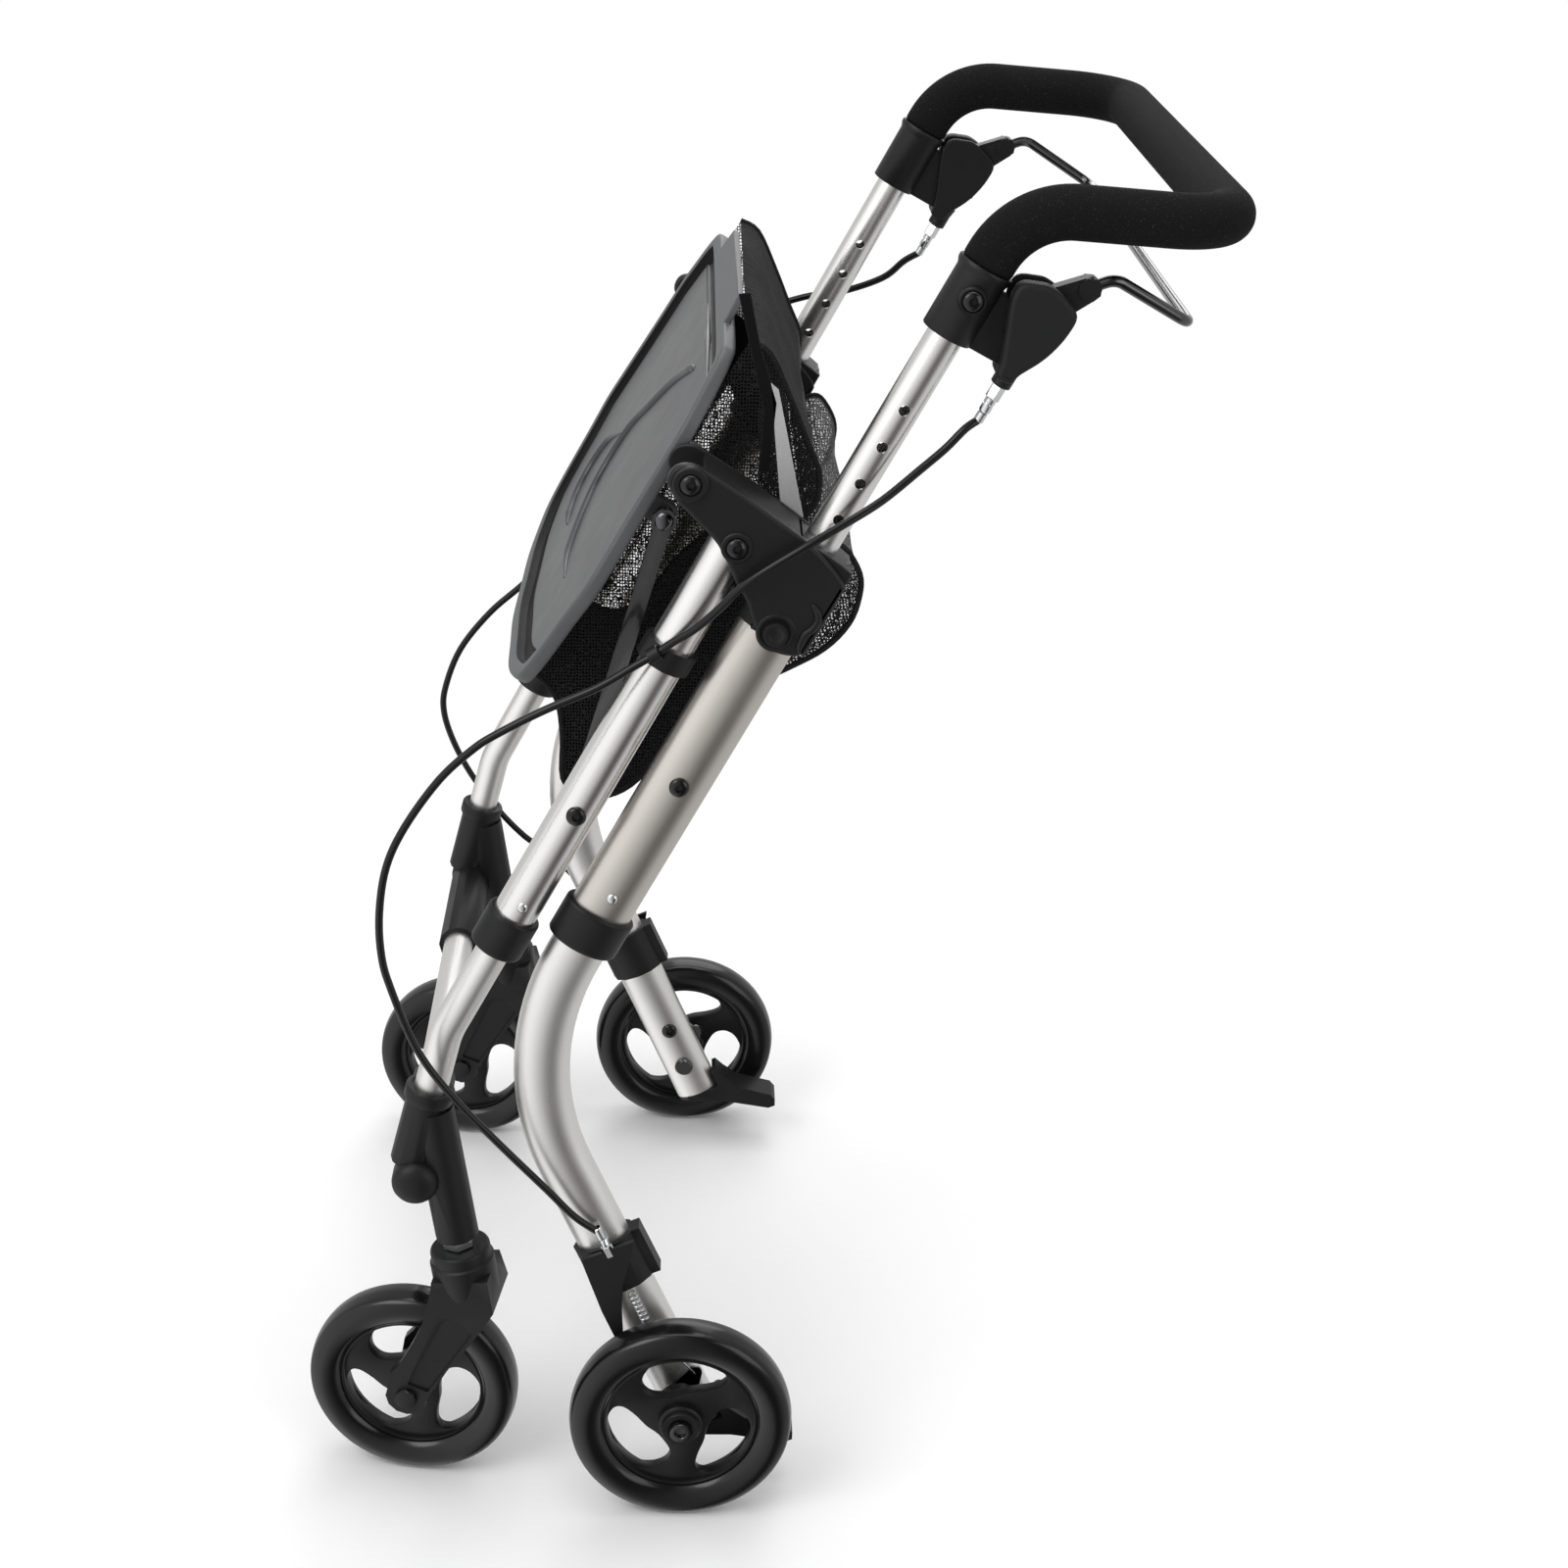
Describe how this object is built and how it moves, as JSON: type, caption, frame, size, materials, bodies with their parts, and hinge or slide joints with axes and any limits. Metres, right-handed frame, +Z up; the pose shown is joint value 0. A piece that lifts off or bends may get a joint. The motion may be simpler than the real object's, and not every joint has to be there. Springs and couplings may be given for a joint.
{
  "type": "folding indoor rollator",
  "caption": "Folding four-wheeled walking frame with swivelling front casters, a hinged serving tray with a cloth bag behind it, a sliding foam-covered handle and a brake bar, stored folded.",
  "frame": {"origin": "on the floor, under the middle of the bounding box of the folded rollator", "axes": "+Z up; -Y the way the front casters point and the user walks; +X the left side"},
  "size_m": [0.5504, 0.5678, 0.9028],
  "materials": {
    "foam": "matte foam",
    "handle_tube": "bright anodised",
    "rear_tube": "champagne satin",
    "leg_paint": "light satin",
    "black_plastic": "satin black",
    "black_steel": "black satin",
    "wheel": "glossy black",
    "zinc": "bright zinc",
    "tray": "fine grain grey",
    "cloth": "black knit",
    "cable": "black sheath"
  },
  "bodies": {
    "rear_frame": {"rear_tube_left": "rear_tube", "rear_tube_right": "rear_tube", "rear_leg_left": "leg_paint", "rear_leg_right": "leg_paint", "rear_collar_left": "black_plastic", "rear_collar_right": "black_plastic", "main_bracket_left": "black_plastic", "main_bracket_right": "black_plastic", "brake_clamp_left": "black_plastic", "brake_clamp_right": "black_plastic", "tip_pedal_left": "black_plastic", "tip_pedal_right": "black_plastic", "rear_axle_left": "black_steel", "rear_axle_right": "black_steel", "brake_spring_left": "zinc", "brake_spring_right": "zinc", "lower_adjuster_left": "zinc", "lower_adjuster_right": "zinc", "brake_cable_left": "cable", "brake_cable_right": "cable", "bracket_cross_bar": "handle_tube"},
    "front_frame": {"front_tube_left": "handle_tube", "front_tube_right": "handle_tube", "front_collar_left": "black_plastic", "front_collar_right": "black_plastic", "front_leg_left": "leg_paint", "front_leg_right": "leg_paint", "cable_clip_left": "black_plastic", "cable_clip_right": "black_plastic", "caster_bracket_left": "black_plastic", "caster_bracket_right": "black_plastic", "caster_stem_left": "zinc", "caster_stem_right": "zinc", "front_cross_tube": "leg_paint"},
    "handle": {"handle_tube": "handle_tube", "grip_foam": "foam", "handle_clamp_left": "black_plastic", "handle_clamp_right": "black_plastic", "brake_cover_left": "black_plastic", "brake_cover_right": "black_plastic", "upper_adjuster_left": "zinc", "upper_adjuster_right": "zinc"},
    "brake_bar": {"brake_bar": "black_steel", "lever_root_left": "black_plastic", "lever_root_right": "black_plastic"},
    "tray": {"tray": "tray", "bag": "cloth"},
    "tray_link_left": {"tray_link_left": "black_steel"},
    "height_button_left": {"height_button_left": "black_plastic"},
    "brake_arm_left": {"brake_arm_left": "black_steel"},
    "rear_wheel_left": {"rear_wheel_left": "wheel"},
    "caster_left": {"caster_fork_left": "black_plastic"},
    "front_wheel_left": {"front_wheel_left": "wheel"},
    "tray_link_right": {"tray_link_right": "black_steel"},
    "height_button_right": {"height_button_right": "black_plastic"},
    "brake_arm_right": {"brake_arm_right": "black_steel"},
    "rear_wheel_right": {"rear_wheel_right": "wheel"},
    "caster_right": {"caster_fork_right": "black_plastic"},
    "front_wheel_right": {"front_wheel_right": "wheel"}
  },
  "joints": [
    {"name": "front_fold", "type": "hinge", "parent": "rear_frame", "child": "front_frame", "pos_m": [0, -0.01108, 0.69], "axis": [-1, 0, 0], "range_deg": [0, 30.4]},
    {"name": "tray_turn", "type": "hinge", "parent": "rear_frame", "child": "tray", "pos_m": [0, -0.03909, 0.72818], "axis": [-1, 0, 0], "range_deg": [0, 82.3]},
    {"name": "link_turn_left", "type": "hinge", "parent": "front_frame", "child": "tray_link_left", "pos_m": [0.1993, -0.10367, 0.51047], "axis": [-1, 0, 0], "range_deg": [-12.31, 0]},
    {"name": "link_turn_right", "type": "hinge", "parent": "front_frame", "child": "tray_link_right", "pos_m": [-0.1993, -0.10367, 0.51047], "axis": [-1, 0, 0], "range_deg": [-12.31, 0]},
    {"name": "handle_slide", "type": "slide", "parent": "rear_frame", "child": "handle", "axis": [0, 0.4583, 0.8888], "range_m": [-0.126, 0.0504], "deforming": ["brake_cable_left", "brake_cable_right"]},
    {"name": "brake_squeeze", "type": "hinge", "parent": "handle", "child": "brake_bar", "pos_m": [0, 0.16173, 0.83288], "axis": [1, 0, 0], "range_deg": [-25, 18], "stiffness_Nm_per_rad": 6, "springref_deg": 1.15},
    {"name": "height_lock_left", "type": "slide", "parent": "rear_frame", "child": "height_button_left", "axis": [1, 0, 0], "range_m": [0, 0.003], "stiffness_N_per_m": 600},
    {"name": "brake_arm_pull_left", "type": "hinge", "parent": "rear_frame", "child": "brake_arm_left", "pos_m": [0.2206, -0.02883, 0.075], "axis": [1, 0, 0], "range_deg": [0, 12], "stiffness_Nm_per_rad": 1.5, "deforming": ["brake_spring_left"]},
    {"name": "rear_wheel_spin_left", "type": "hinge", "parent": "rear_frame", "child": "rear_wheel_left", "pos_m": [0.2563, -0.02883, 0.075], "axis": [1, 0, 0], "continuous": true},
    {"name": "caster_swivel_left", "type": "hinge", "parent": "front_frame", "child": "caster_left", "pos_m": [0.2206, -0.17953, 0.186], "axis": [0, -0.1564, 0.9877], "range_deg": [-140, 140]},
    {"name": "front_wheel_spin_left", "type": "hinge", "parent": "caster_left", "child": "front_wheel_left", "pos_m": [0.21293, -0.21223, 0.07209], "axis": [0.9885, -0.1494, -0.0237], "continuous": true},
    {"name": "height_lock_right", "type": "slide", "parent": "rear_frame", "child": "height_button_right", "axis": [-1, 0, 0], "range_m": [0, 0.003], "stiffness_N_per_m": 600},
    {"name": "brake_arm_pull_right", "type": "hinge", "parent": "rear_frame", "child": "brake_arm_right", "pos_m": [-0.2206, -0.02883, 0.075], "axis": [1, 0, 0], "range_deg": [0, 12], "stiffness_Nm_per_rad": 1.5, "deforming": ["brake_spring_right"]},
    {"name": "rear_wheel_spin_right", "type": "hinge", "parent": "rear_frame", "child": "rear_wheel_right", "pos_m": [-0.2563, -0.02883, 0.075], "axis": [1, 0, 0], "continuous": true},
    {"name": "caster_swivel_right", "type": "hinge", "parent": "front_frame", "child": "caster_right", "pos_m": [-0.2206, -0.17953, 0.186], "axis": [0, -0.1564, 0.9877], "range_deg": [-100, 165]},
    {"name": "front_wheel_spin_right", "type": "hinge", "parent": "caster_right", "child": "front_wheel_right", "pos_m": [-0.22704, -0.2124, 0.07206], "axis": [0.9919, -0.1255, -0.0199], "continuous": true}
  ],
  "couplings": [
    {"joint": "tray_turn", "follows": "front_fold", "ratio": 2.707},
    {"joint": "link_turn_left", "follows": "front_fold", "ratio": -0.4046},
    {"joint": "link_turn_right", "follows": "front_fold", "ratio": -0.4046}
  ]
}
